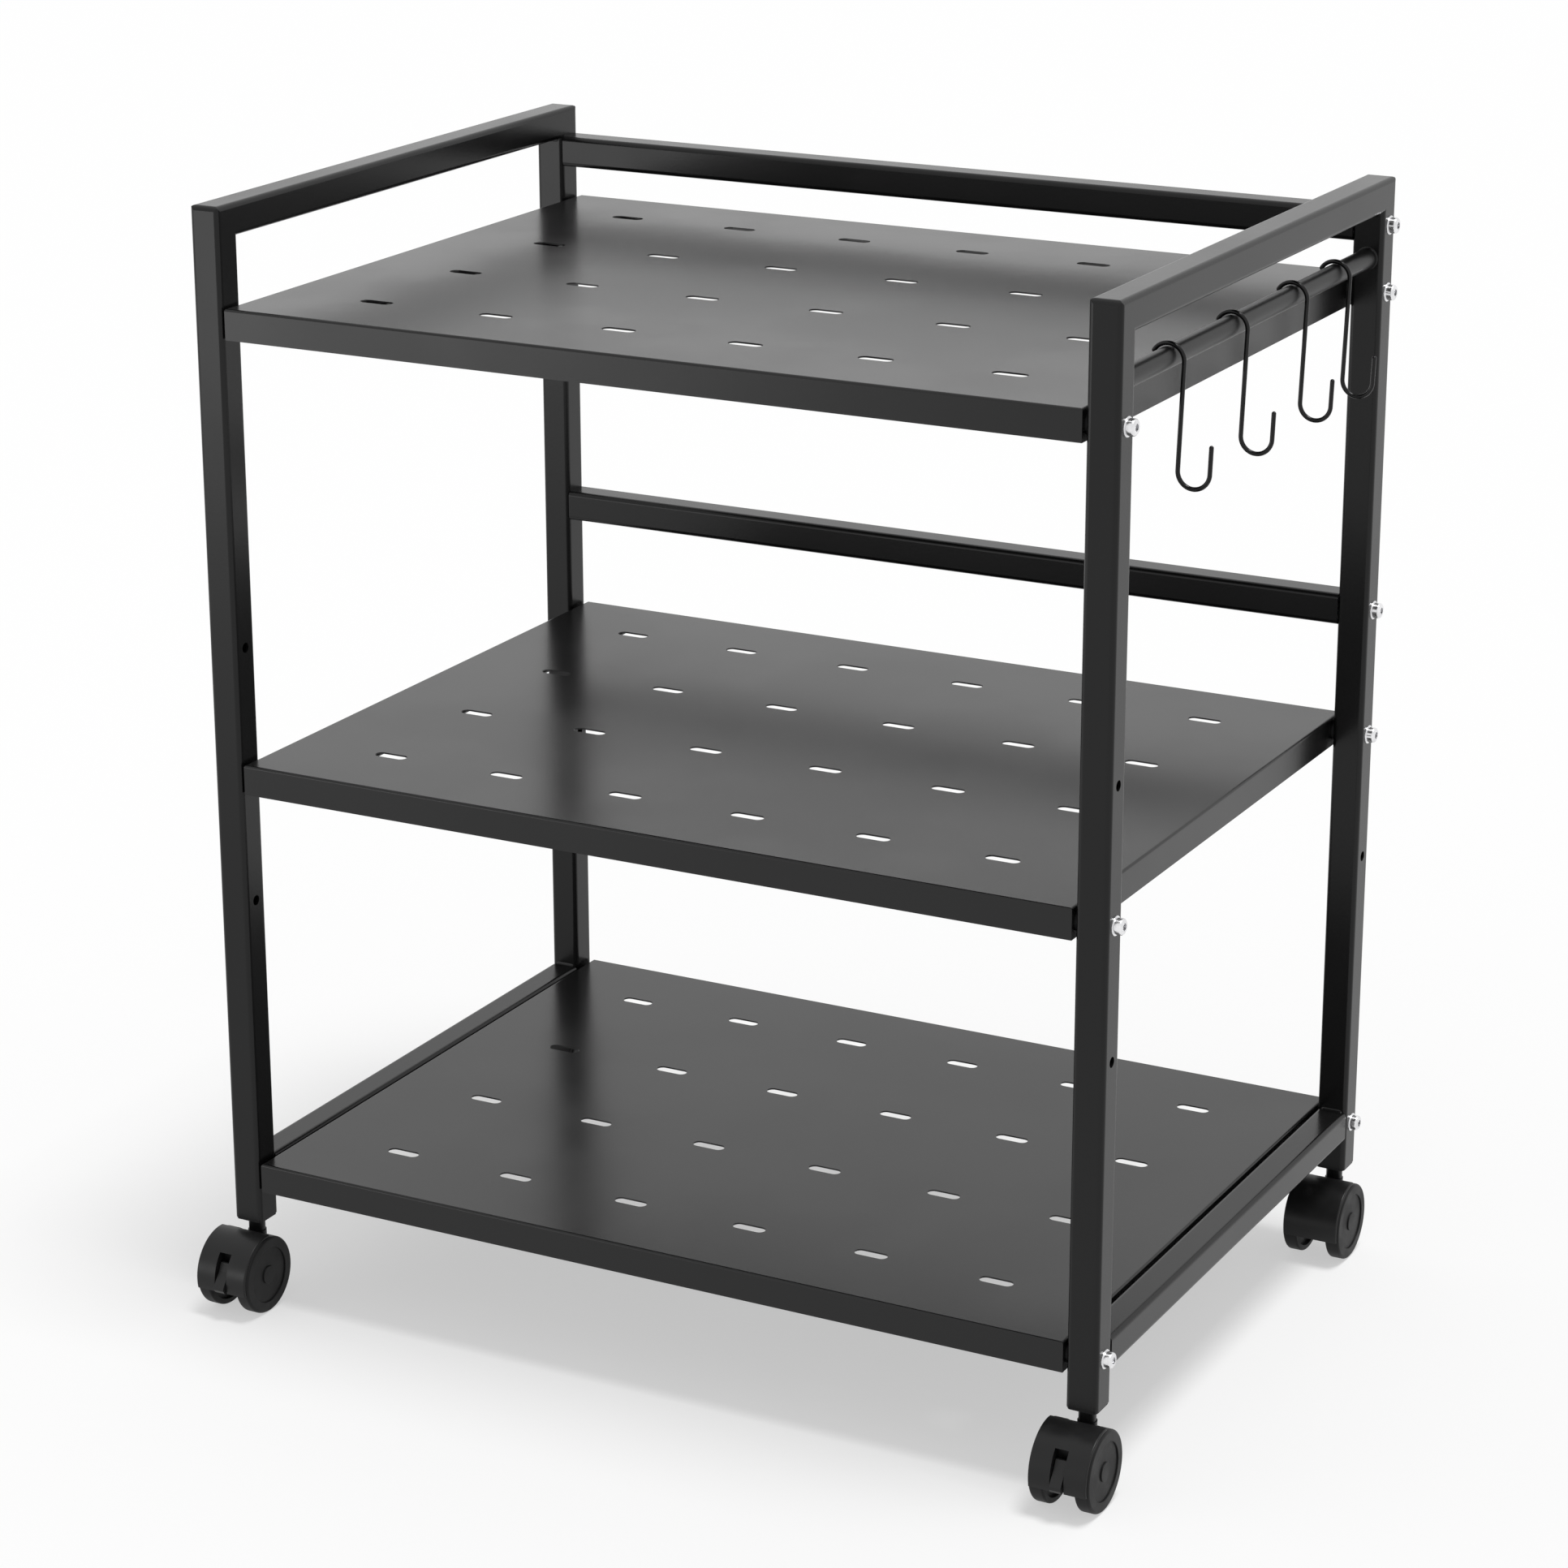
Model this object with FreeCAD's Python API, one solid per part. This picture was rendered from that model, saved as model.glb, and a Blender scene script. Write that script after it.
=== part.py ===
import FreeCAD, Part
import math
import os

# A three-shelf rolling cart: two welded end frames of square tube, three folded sheet trays
# and two back rails bolted between them, a hook bar with four wire hooks, and four twin-wheel
# casters. All lengths are in millimetres. X runs along the cart's width, Y from front to back
# and Z up from the floor.

# Frame
cart_width = 601.0
cart_depth = 418.0
cart_height = 709.0
tube_size = 20.0
tube_wall = 1.5
tube_corner = 3.0
inner_corner_share = 0.5
frame_corner = 3.0
post_foot_height = 57.2
upper_rail_drop = 28.5

# Shelf levels: the top tray's drop below the handles' tops, and the other trays' top faces above
# the floor
top_shelf_drop = 60.5
middle_shelf_height = 363.5
bottom_shelf_height = 97.5
shelf_hole_pitch = 82.0

# Trays
sheet_thickness = 1.0
tray_flange = 19.0
tray_lip = 31.0
tray_gap = 2.0
tray_bend = 1.6
inner_bend_share = 0.35
slot_length = 22.0
slot_width = 8.0
slot_columns = 6
slot_rows = 4
slot_pitch_x = 83.5
slot_pitch_y = 100.5

# Bolts, nuts, spacers and threaded rail ends
bolt_radius = 3.0
bolt_hole_gap = 0.2
thread_gap = 0.1
bolt_head_radius = 4.9
bolt_head_height = 5.8
bolt_head_round = 1.7
bolt_flange_radius = 5.9
bolt_flange_height = 1.0
bolt_flange_round = 0.4
flat_head_radius = 5.4
flat_head_height = 1.0
flat_head_round = 0.3
key_across = 4.0
key_depth = 2.5
bolt_proud = 1.5
nut_across = 10.0
nut_height = 5.0
spacer_radius = 6.5
insert_length = 14.0
insert_gap = 0.1

# Hook bar and wire hooks
hook_bar_radius = 6.25
hook_bar_rise = 12.2
hook_wire_radius = 1.35
hook_upper_radius = 9.8
hook_lower_radius = 9.6
hook_height = 83.2
hook_tip = 15.4
hook_seat_gap = 0.3
hook_upper_sweep = 150.0
hook_lean = 2.0
hook_place_shares = (-0.64, -0.15, 0.34, 0.71)

# Caster sockets and stems
socket_length = 24.0
socket_lip = 1.2
socket_lip_inset = 0.4
stem_radius = 4.0
stem_length = 20.0
neck_radius = 5.3
neck_seat_height = 47.0
pivot_radius = 3.5
pivot_depth = 25.0

# Fits: pins that turn in their bores, and pins that stay put in them
running_gap = 0.05
fixed_gap = 0.02

# Caster wheels and axles
wheel_radius = 25.0
wheel_width = 9.3
wheel_spacing = 20.0
wheel_trail = 16.0
wheel_outer_round = 1.8
wheel_inner_round = 1.2
wheel_dish_depth = 2.5
wheel_rim = 3.5
wheel_hub_radius = 7.5
wheel_face_recess = 0.9
wheel_face_rim = 7.0
wheel_cap_radius = 6.0
wheel_edge_round = 0.4
axle_radius = 3.0
axle_cover = 4.0

# Caster hoods
hood_width = 36.6
hood_wall = 1.3
hood_wheel_gap = 0.4
hood_side_gap = 0.4
hood_front_end = -13.0
hood_top_end = 96.0
hood_belly_radius = 16.0
hood_belly_start = 225.0
hood_core_height = 41.5
boss_radius = 5.9
boss_bottom_height = 20.0
hood_round = 0.9
hood_back_round = 5.0

# Brake levers of the two front casters, measured forward of and above the wheel axle
brake_pocket_back = 14.5
brake_pocket_floor = -12.0
brake_pocket_roof = 18.5
brake_pocket_half_width = 4.4
brake_side_gap = 0.8
brake_reach = 29.0
brake_sole_drop = 5.5
brake_nose_drop = 3.5
brake_face_drop = 1.5
brake_face_top = 7.0
brake_face_slope = 6.5
brake_crown = 12.0
brake_crown_back = 18.0
brake_crown_thickness = 1.8
brake_pin_forward = 10.5
brake_pin_radius = 1.5
brake_tongue_radius = 3.0
brake_tongue_half_width = 2.0
brake_slot_gap = 0.4

# Cutters run past the faces that they open by this much
overrun = 5.0

# Sizes worked out from the ones above
half_width = cart_width / 2
half_depth = cart_depth / 2
half_tube = tube_size / 2
post_x = half_width - half_tube
post_y = half_depth - half_tube
inner_half_width = half_width - tube_size
inner_half_depth = half_depth - tube_size
tube_inside = tube_size - 2 * tube_wall
tray_half_width = inner_half_width - tray_gap
top_shelf_height = cart_height - top_shelf_drop
bolt_hole_radius = bolt_radius + bolt_hole_gap
threaded_radius = bolt_radius + thread_gap
tray_levels = {
    "top": top_shelf_height,
    "middle": middle_shelf_height,
    "bottom": bottom_shelf_height,
}
middle_bolt_height = middle_shelf_height - tray_flange / 2
upper_rail_height = cart_height - upper_rail_drop
middle_rail_height = middle_bolt_height + shelf_hole_pitch
spare_hole_height = middle_bolt_height - shelf_hole_pitch
tray_bolt_heights = [level - tray_flange / 2 for level in tray_levels.values()]
rail_heights = [upper_rail_height, middle_rail_height]
tray_bolt_length = tube_size + tray_gap + sheet_thickness + nut_height + bolt_proud
rail_bolt_length = tube_size + insert_length - bolt_proud
hook_bar_height = top_shelf_height + hook_bar_rise
hook_inner_radius = hook_upper_radius - hook_wire_radius
wheel_inner_face = wheel_spacing / 2
wheel_outer_face = wheel_inner_face + wheel_width
hood_core_half = wheel_inner_face - hood_side_gap
hood_space_radius = wheel_radius + hood_wheel_gap
hood_radius = hood_space_radius + hood_wall
axle_half_length = wheel_outer_face - axle_cover
brake_half_width = brake_pocket_half_width - brake_side_gap

X_AXIS = FreeCAD.Vector(1, 0, 0)
Y_AXIS = FreeCAD.Vector(0, 1, 0)
Z_AXIS = FreeCAD.Vector(0, 0, 1)
CENTRE = FreeCAD.Vector(0, 0, 0)
RIGHT_ANGLE = 90.0


def block(low, high):
    """A box between two opposite corners."""
    size = [b - a for a, b in zip(low, high)]
    return Part.makeBox(size[0], size[1], size[2], FreeCAD.Vector(*low))


def cylinder_x(radius, x_low, x_high, y, z):
    """A cylinder along X."""
    return Part.makeCylinder(radius, x_high - x_low, FreeCAD.Vector(x_low, y, z), X_AXIS)


def cylinder_y(radius, y_low, y_high, x, z):
    """A cylinder along Y."""
    return Part.makeCylinder(radius, y_high - y_low, FreeCAD.Vector(x, y_low, z), Y_AXIS)


def cylinder_z(radius, z_low, z_high, x, y):
    """A cylinder along Z."""
    return Part.makeCylinder(radius, z_high - z_low, FreeCAD.Vector(x, y, z_low), Z_AXIS)


def edges_along(shape, axis):
    """The straight edges that run along one axis, 0 for X, 1 for Y and 2 for Z."""
    found = []
    for edge in shape.Edges:
        if edge.Curve.TypeId != "Part::GeomLine":
            continue
        step = edge.Vertexes[-1].Point - edge.Vertexes[0].Point
        if abs(abs(step[axis]) - step.Length) < step.Length * 1e-6:
            found.append(edge)
    return found


def prism_x(points, x_low, x_high):
    """A prism along X over an outline of (y, z) points."""
    corners = [FreeCAD.Vector(x_low, y, z) for y, z in points]
    face = Part.Face(Part.makePolygon(corners + corners[:1]))
    return face.extrude(X_AXIS * (x_high - x_low))


def rounded_bar(size, corner, length):
    """A square bar along Z with rounded long edges, centred on the Z axis."""
    half = size / 2
    bar = block((-half, -half, 0), (half, half, length))
    return bar.makeFillet(corner, edges_along(bar, 2))


def square_tube(length):
    """A length of the frame's square tube, along Z from 0."""
    inside = rounded_bar(tube_inside, tube_corner * inner_corner_share, length + 2 * overrun)
    inside.translate(-Z_AXIS * overrun)
    return rounded_bar(tube_size, tube_corner, length).cut(inside)


def mitre_wedge(keep_post):
    """The waste of the mitre at a frame's front top corner, on the post's or the handle's side."""
    outer = (-half_depth - overrun, cart_height + overrun)
    inner = (-inner_half_depth + overrun, cart_height - tube_size - overrun)
    waste = (inner[0], outer[1]) if keep_post else (outer[0], inner[1])
    return prism_x([outer, inner, waste], -half_tube - overrun, half_tube + overrun)


def corner_waste():
    """What the rounding of a frame's front top corner takes off."""
    reach = half_tube + overrun
    y = -half_depth + frame_corner
    z = cart_height - frame_corner
    waste = block((-reach, -half_depth - overrun, z), (reach, y, cart_height + overrun))
    return waste.cut(cylinder_x(frame_corner, -reach - overrun, reach + overrun, y, z))


def mirrored_y(shape):
    """The shape's mirror image, front to back."""
    return shape.mirror(CENTRE, Y_AXIS)


def mirrored_x(shape):
    """The shape's mirror image, left to right."""
    return shape.mirror(CENTRE, X_AXIS)


def post(at_rear):
    """A right-hand post, with its bolt holes, on X = 0."""
    tube = square_tube(cart_height - post_foot_height)
    tube.translate(FreeCAD.Vector(0, -post_y, post_foot_height))
    tube = tube.cut(mitre_wedge(True)).cut(corner_waste())
    heights = tray_bolt_heights + [middle_rail_height, spare_hole_height]
    if at_rear:
        heights.append(upper_rail_height)
    reach = half_tube + overrun
    for height in heights:
        tube = tube.cut(cylinder_x(bolt_hole_radius, -reach, reach, -post_y, height))
    return mirrored_y(tube) if at_rear else tube


def handle():
    """The bar that joins two posts at the top, mitred at both ends, on X = 0."""
    tube = square_tube(cart_depth)
    tube.rotate(CENTRE, X_AXIS, -RIGHT_ANGLE)
    tube.translate(FreeCAD.Vector(0, -half_depth, cart_height - half_tube))
    for waste in (mitre_wedge(False), corner_waste()):
        tube = tube.cut(waste).cut(mirrored_y(waste))
    return tube


def side_rail():
    """The tube between two posts beside the bottom tray, on X = 0."""
    tube = square_tube(2 * inner_half_depth)
    tube.rotate(CENTRE, X_AXIS, -RIGHT_ANGLE)
    tube.translate(FreeCAD.Vector(0, -inner_half_depth, bottom_shelf_height - half_tube))
    return tube


def back_rail(height):
    """A tube between the rear posts, centred on the height given."""
    tube = square_tube(2 * inner_half_width)
    tube.rotate(CENTRE, Y_AXIS, RIGHT_ANGLE)
    tube.translate(FreeCAD.Vector(-inner_half_width, post_y, height))
    return tube


def end_frame():
    """The pieces of the right-hand end frame, in the cart's place."""
    pieces = {
        "front_post": post(False),
        "rear_post": post(True),
        "handle": handle(),
        "side_rail": side_rail(),
    }
    for shape in pieces.values():
        shape.translate(X_AXIS * post_x)
    return pieces


def slot_cutter(x, y, level):
    """One slot through a tray's top sheet, its length along X."""
    radius = slot_width / 2
    run = slot_length / 2 - radius
    low = level - sheet_thickness - overrun
    high = level + overrun
    middle = block((x - run, y - radius, low), (x + run, y + radius, high))
    ends = [cylinder_z(radius, low, high, x + side * run, y) for side in (-1, 1)]
    return middle.fuse(ends)


def slot_cutters(level):
    """The tray's whole grid of slots."""
    cutters = []
    for column in range(slot_columns):
        x = (column - (slot_columns - 1) / 2) * slot_pitch_x
        for row in range(slot_rows):
            y = (row - (slot_rows - 1) / 2) * slot_pitch_y
            cutters.append(slot_cutter(x, y, level))
    return cutters


def tray_shell(level):
    """The tray's top sheet, its four flanges and the lips that turn in below the side flanges."""
    bottom = level - tray_flange
    outer = block((-tray_half_width, -half_depth, bottom), (tray_half_width, half_depth, level))
    top_edges = [e for e in edges_along(outer, 0) + edges_along(outer, 1)
                 if e.CenterOfMass.z > level - sheet_thickness / 2]
    outer = outer.makeFillet(tray_bend, top_edges)
    x = tray_half_width - sheet_thickness
    y = half_depth - sheet_thickness
    roof = level - sheet_thickness
    floor = bottom + sheet_thickness
    inner = block((-x, -y, floor), (x, y, roof))
    roof_edges = [e for e in edges_along(inner, 0) + edges_along(inner, 1)
                  if e.CenterOfMass.z > roof - sheet_thickness / 2]
    inner = inner.makeFillet(tray_bend * inner_bend_share, roof_edges)
    lip_edge = tray_half_width - tray_lip
    mouth = block((-lip_edge, -y, bottom - overrun), (lip_edge, y, floor + overrun))
    return outer.cut([inner, mouth])


def tray(level):
    """A folded sheet tray: its slotted top and four flanges, with bolt holes at the sides."""
    hole_height = level - tray_flange / 2
    reach = tray_half_width + overrun
    cutters = slot_cutters(level)
    for y in (-post_y, post_y):
        cutters.append(cylinder_x(bolt_hole_radius, -reach, reach, y, hole_height))
    return tray_shell(level).cut(cutters)


def hex_prism(across, height):
    """A hexagonal prism along Z from 0."""
    corner = across / 2 / math.cos(math.pi / 6)
    points = []
    for turn in range(6):
        angle = turn * math.pi / 3
        points.append(FreeCAD.Vector(corner * math.cos(angle), corner * math.sin(angle), 0))
    return Part.Face(Part.makePolygon(points + points[:1])).extrude(Z_AXIS * height)


def rounded_disc(radius, height, edge_round):
    """A disc along Z from 0 with a rounded top rim."""
    disc = cylinder_z(radius, 0, height, 0, 0)
    rims = [edge for edge in disc.Edges
            if edge.Curve.TypeId == "Part::GeomCircle" and edge.CenterOfMass.z > height / 2]
    return disc.makeFillet(edge_round, rims)


def bolt(head, head_height, length):
    """A bolt along Z, its head above Z = 0 and its shank below, with a hexagonal socket."""
    shank = cylinder_z(bolt_radius, -length, 0, 0, 0)
    key = hex_prism(key_across, key_depth + overrun)
    key.translate(Z_AXIS * (head_height - key_depth))
    return head.fuse(shank).cut(key)


def flange_bolt(length):
    """A bolt with a tall flanged head, for the right-hand posts."""
    head = rounded_disc(bolt_head_radius, bolt_head_height, bolt_head_round)
    flange = rounded_disc(bolt_flange_radius, bolt_flange_height, bolt_flange_round)
    return bolt(head.fuse(flange), bolt_head_height, length)


def flat_bolt(length):
    """A bolt with a low flat head, for the left-hand posts."""
    head = rounded_disc(flat_head_radius, flat_head_height, flat_head_round)
    return bolt(head, flat_head_height, length)


def hex_nut():
    """A nut along Z from 0."""
    body = hex_prism(nut_across, nut_height)
    return body.cut(cylinder_z(threaded_radius, -overrun, nut_height + overrun, 0, 0))


def spacer():
    """The ring between a post and a tray's flange, along Z from 0."""
    ring = cylinder_z(spacer_radius, 0, tray_gap, 0, 0)
    return ring.cut(cylinder_z(bolt_hole_radius, -overrun, tray_gap + overrun, 0, 0))


def rail_insert():
    """The threaded block in a back rail's end, along Z from 0."""
    body = rounded_bar(tube_inside - 2 * insert_gap, tube_corner * inner_corner_share, insert_length)
    return body.cut(cylinder_z(threaded_radius, -overrun, insert_length + overrun, 0, 0))


def facing_out(shape, x):
    """The shape turned from +Z to +X and moved out to X."""
    turned = shape.copy()
    turned.rotate(CENTRE, Y_AXIS, RIGHT_ANGLE)
    turned.translate(X_AXIS * x)
    return turned


def on_both_sides(right, left, places):
    """Copies of a right-hand piece and of a left-hand one, mirrored, at each (y, z) place."""
    copies = []
    for y, z in places:
        for piece in (right, mirrored_x(left)):
            copy = piece.copy()
            copy.translate(FreeCAD.Vector(0, y, z))
            copies.append(copy)
    return Part.makeCompound(copies)


def post_places(height):
    """The (y, z) places of one height on the front and the rear post."""
    return [(-post_y, height), (post_y, height)]


def fasteners():
    """The bolts, nuts, spacers and threaded rail ends, each kind as one group."""
    tray_bolts = [facing_out(make(tray_bolt_length), half_width) for make in (flange_bolt, flat_bolt)]
    rail_bolts = [facing_out(make(rail_bolt_length), half_width) for make in (flange_bolt, flat_bolt)]
    nut = facing_out(hex_nut(), tray_half_width - sheet_thickness - nut_height)
    ring = facing_out(spacer(), tray_half_width)
    insert = facing_out(rail_insert(), inner_half_width - insert_length)
    groups = {}
    for name, level in tray_levels.items():
        places = post_places(level - tray_flange / 2)
        groups[name + "_tray_bolts"] = on_both_sides(tray_bolts[0], tray_bolts[1], places)
        groups[name + "_tray_nuts"] = on_both_sides(nut, nut, places)
        groups[name + "_tray_spacers"] = on_both_sides(ring, ring, places)
    rear_places = [(post_y, height) for height in rail_heights]
    groups["rail_bolts"] = on_both_sides(rail_bolts[0], rail_bolts[1], rear_places)
    groups["rail_inserts"] = on_both_sides(insert, insert, rear_places)
    return groups


def hook_bar():
    """The round bar between the right-hand posts, above the edge of the top tray."""
    return cylinder_y(hook_bar_radius, -inner_half_depth, inner_half_depth, post_x, hook_bar_height)


def hook_path():
    """The hook wire's centre line, in the plane Y = 0, with the hook bar's axis at the origin."""
    loop_z = hook_bar_radius + hook_seat_gap - hook_inner_radius
    top = hook_bar_radius + hook_seat_gap + 2 * hook_wire_radius
    low_z = top - hook_height + hook_wire_radius + hook_lower_radius
    loop = FreeCAD.Vector(0, 0, loop_z)
    start = loop + spoke(hook_upper_sweep)
    crest = loop + spoke(hook_upper_sweep / 2)
    shoulder = FreeCAD.Vector(hook_upper_radius, 0, loop_z)
    shank_end = FreeCAD.Vector(hook_upper_radius, 0, low_z)
    belly = FreeCAD.Vector(hook_upper_radius + hook_lower_radius, 0, low_z - hook_lower_radius)
    rise = FreeCAD.Vector(hook_upper_radius + 2 * hook_lower_radius, 0, low_z)
    tip = rise + Z_AXIS * hook_tip
    edges = [
        Part.Arc(start, crest, shoulder).toShape(),
        Part.LineSegment(shoulder, shank_end).toShape(),
        Part.Arc(shank_end, belly, rise).toShape(),
        Part.LineSegment(rise, tip).toShape(),
    ]
    return start, tip, Part.Wire(edges)


def spoke(angle):
    """A spoke of the hook's upper curl at an angle from +X towards +Z, in degrees."""
    turn = math.radians(angle)
    return FreeCAD.Vector(math.cos(turn), 0, math.sin(turn)) * hook_upper_radius


def wire_hook(y):
    """One S-shaped wire hook hanging on the hook bar, leaning in a little."""
    start, tip, path = hook_path()
    along = path.Edges[0].tangentAt(path.Edges[0].FirstParameter)
    ring = Part.Wire(Part.makeCircle(hook_wire_radius, start, along))
    body = path.makePipeShell([ring], True, True)
    ends = [Part.makeSphere(hook_wire_radius, point) for point in (start, tip)]
    hook = body.fuse(ends)
    hook.rotate(CENTRE, Y_AXIS, hook_lean)
    hook.translate(FreeCAD.Vector(post_x, y, hook_bar_height))
    return hook


def hooks():
    """The four wire hooks, front to back."""
    pieces = {}
    for number, share in enumerate(hook_place_shares, 1):
        pieces["wire_hook_%d" % number] = wire_hook(share * inner_half_depth)
    return pieces


def caster_socket():
    """The plug in a post's foot that holds a caster's stem."""
    body = rounded_bar(tube_inside - 2 * insert_gap, tube_corner * inner_corner_share, socket_length)
    lip = rounded_bar(tube_size - 2 * socket_lip_inset, tube_corner, socket_lip)
    lip.translate(-Z_AXIS * socket_lip)
    plug = body.fuse(lip)
    plug.translate(Z_AXIS * post_foot_height)
    bore_top = post_foot_height + stem_length + fixed_gap
    bore = cylinder_z(stem_radius + fixed_gap, neck_seat_height, bore_top, 0, 0)
    return plug.cut(bore)


def caster_stem():
    """The stem: its shank in the socket, its neck below it and its pivot in the hood."""
    neck_top = post_foot_height - socket_lip
    shank = cylinder_z(stem_radius, neck_top, post_foot_height + stem_length, 0, 0)
    neck = cylinder_z(neck_radius, neck_seat_height, neck_top, 0, 0)
    pivot = cylinder_z(pivot_radius, neck_seat_height - pivot_depth, neck_seat_height, 0, 0)
    return shank.fuse([neck, pivot])


def hood_point(radius, angle):
    """A point at a distance from the axle, at an angle from straight ahead upwards."""
    turn = math.radians(angle)
    y = -wheel_trail - radius * math.cos(turn)
    z = wheel_radius + radius * math.sin(turn)
    return FreeCAD.Vector(0, y, z)


def hood_core_outline():
    """The side outline of the hood's core, as a face in the plane X = 0."""
    front = hood_point(hood_radius, hood_front_end)
    crest = hood_point(hood_radius, (hood_front_end + hood_top_end) / 2)
    shoulder = hood_point(hood_radius, hood_top_end)
    saddle = FreeCAD.Vector(0, -boss_radius, hood_core_height)
    back_top = FreeCAD.Vector(0, boss_radius, hood_core_height)
    back_foot = FreeCAD.Vector(0, boss_radius, boss_bottom_height)
    belly_back = hood_point(hood_belly_radius, hood_belly_start)
    belly_low = hood_point(hood_belly_radius, (hood_belly_start + 4 * RIGHT_ANGLE + hood_front_end) / 2)
    belly_front = hood_point(hood_belly_radius, hood_front_end)
    edges = [
        Part.Arc(front, crest, shoulder).toShape(),
        Part.LineSegment(shoulder, saddle).toShape(),
        Part.LineSegment(saddle, back_top).toShape(),
        Part.LineSegment(back_top, back_foot).toShape(),
        Part.LineSegment(back_foot, belly_back).toShape(),
        Part.Arc(belly_back, belly_low, belly_front).toShape(),
        Part.LineSegment(belly_front, front).toShape(),
    ]
    return Part.Face(Part.Wire(edges))


def hood_cover_outline():
    """The side outline of the cover over the wheels, as a face in the plane X = 0."""
    middle = (hood_front_end + hood_top_end) / 2
    outer = [hood_point(hood_radius, angle) for angle in (hood_front_end, middle, hood_top_end)]
    inner = [hood_point(hood_space_radius, angle) for angle in (hood_top_end, middle, hood_front_end)]
    edges = [
        Part.Arc(outer[0], outer[1], outer[2]).toShape(),
        Part.LineSegment(outer[2], inner[0]).toShape(),
        Part.Arc(inner[0], inner[1], inner[2]).toShape(),
        Part.LineSegment(inner[2], outer[0]).toShape(),
    ]
    return Part.Face(Part.Wire(edges))


def slab(face, width):
    """The slab that a face in the plane X = 0 makes, centred on that plane."""
    body = face.extrude(X_AXIS * width)
    body.translate(-X_AXIS * width / 2)
    return body


def hood_core():
    """The core between the wheels, its upright back corners rounded."""
    core = slab(hood_core_outline(), 2 * hood_core_half)
    corners = [edge for edge in edges_along(core, 2) if edge.CenterOfMass.y > boss_radius / 2]
    return core.makeFillet(hood_back_round, corners)


def hood_cover():
    """The cover over the wheels' fronts and tops, its outer rims rounded."""
    cover = slab(hood_cover_outline(), hood_width)
    rims = []
    for edge in cover.Edges:
        if edge.Curve.TypeId == "Part::GeomCircle" and edge.Curve.Radius > hood_space_radius + hood_wall / 2:
            rims.append(edge)
    return cover.makeFillet(hood_round, rims)


def wheel_space(side):
    """The room that a wheel takes beside the hood's core, on the side given by its sign."""
    near = side * hood_core_half
    far = side * (wheel_outer_face + overrun)
    low, high = min(near, far), max(near, far)
    return cylinder_x(hood_space_radius, low, high, -wheel_trail, wheel_radius)


def forward(distance):
    """The Y of a place that lies ahead of the wheel axle."""
    return -wheel_trail - distance


def brake_cutters():
    """The pocket and the slot that a front hood has for its brake lever."""
    half = brake_pocket_half_width
    pocket = block((-half, forward(hood_radius + overrun), wheel_radius + brake_pocket_floor),
                   (half, forward(brake_pocket_back), wheel_radius + brake_pocket_roof))
    slot_half = brake_tongue_half_width + brake_slot_gap
    slot_reach = brake_tongue_radius + brake_slot_gap
    slot = block((-slot_half, forward(brake_pocket_back + overrun), wheel_radius - slot_reach),
                 (slot_half, forward(brake_pin_forward), wheel_radius + slot_reach + brake_side_gap))
    slot_end = cylinder_x(slot_reach + brake_slot_gap, -slot_half, slot_half,
                          forward(brake_pin_forward), wheel_radius)
    bore = cylinder_x(brake_pin_radius + fixed_gap, -hood_core_half - overrun, hood_core_half + overrun,
                      forward(brake_pin_forward), wheel_radius)
    return [pocket, slot, slot_end, bore]


def hood(with_brake):
    """A caster's hood: the core between the wheels, their cover and the boss round the pivot."""
    seat_height = neck_seat_height - running_gap
    boss = cylinder_z(boss_radius, boss_bottom_height, seat_height, 0, 0)
    body = hood_core().fuse([hood_cover(), boss.cut([wheel_space(-1), wheel_space(1)])])
    pivot_low = neck_seat_height - pivot_depth - running_gap
    cutters = [
        cylinder_z(pivot_radius + running_gap, pivot_low, neck_seat_height + overrun, 0, 0),
        cylinder_x(axle_radius + fixed_gap, -hood_width / 2, hood_width / 2, -wheel_trail, wheel_radius),
    ]
    if with_brake:
        cutters += brake_cutters()
    return body.cut(cutters)


def axle():
    """The pin that both wheels of a caster turn on."""
    return cylinder_x(axle_radius, -axle_half_length, axle_half_length, -wheel_trail, wheel_radius)


def ring_x(outer, inner, x_low, x_high):
    """A ring about the wheel axle."""
    ring = cylinder_x(outer, x_low, x_high, -wheel_trail, wheel_radius)
    return ring.cut(cylinder_x(inner, x_low - overrun, x_high + overrun, -wheel_trail, wheel_radius))


def circles_of(shape, radius, x):
    """The round edges of one radius in the plane of one X."""
    found = []
    for edge in shape.Edges:
        if edge.Curve.TypeId != "Part::GeomCircle":
            continue
        if abs(edge.Curve.Radius - radius) + abs(edge.CenterOfMass.x - x) < wheel_edge_round / 4:
            found.append(edge)
    return found


def wheel():
    """The right-hand wheel of a caster: a dished disc with a rounded tread."""
    body = cylinder_x(wheel_radius, wheel_inner_face, wheel_outer_face, -wheel_trail, wheel_radius)
    body = body.makeFillet(wheel_outer_round, circles_of(body, wheel_radius, wheel_outer_face))
    body = body.makeFillet(wheel_inner_round, circles_of(body, wheel_radius, wheel_inner_face))
    dish = ring_x(wheel_radius - wheel_rim, wheel_hub_radius,
                  wheel_inner_face - overrun, wheel_inner_face + wheel_dish_depth)
    recess_radius = wheel_radius - wheel_face_rim
    recess_floor = wheel_outer_face - wheel_face_recess
    recess = ring_x(recess_radius, wheel_cap_radius, recess_floor, wheel_outer_face + overrun)
    bore = cylinder_x(axle_radius + running_gap, wheel_inner_face - overrun, axle_half_length + running_gap,
                      -wheel_trail, wheel_radius)
    body = body.cut([dish, recess, bore])
    sharp = circles_of(body, recess_radius, wheel_outer_face)
    sharp += circles_of(body, wheel_cap_radius, wheel_outer_face)
    return body.makeFillet(wheel_edge_round, sharp)


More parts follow.
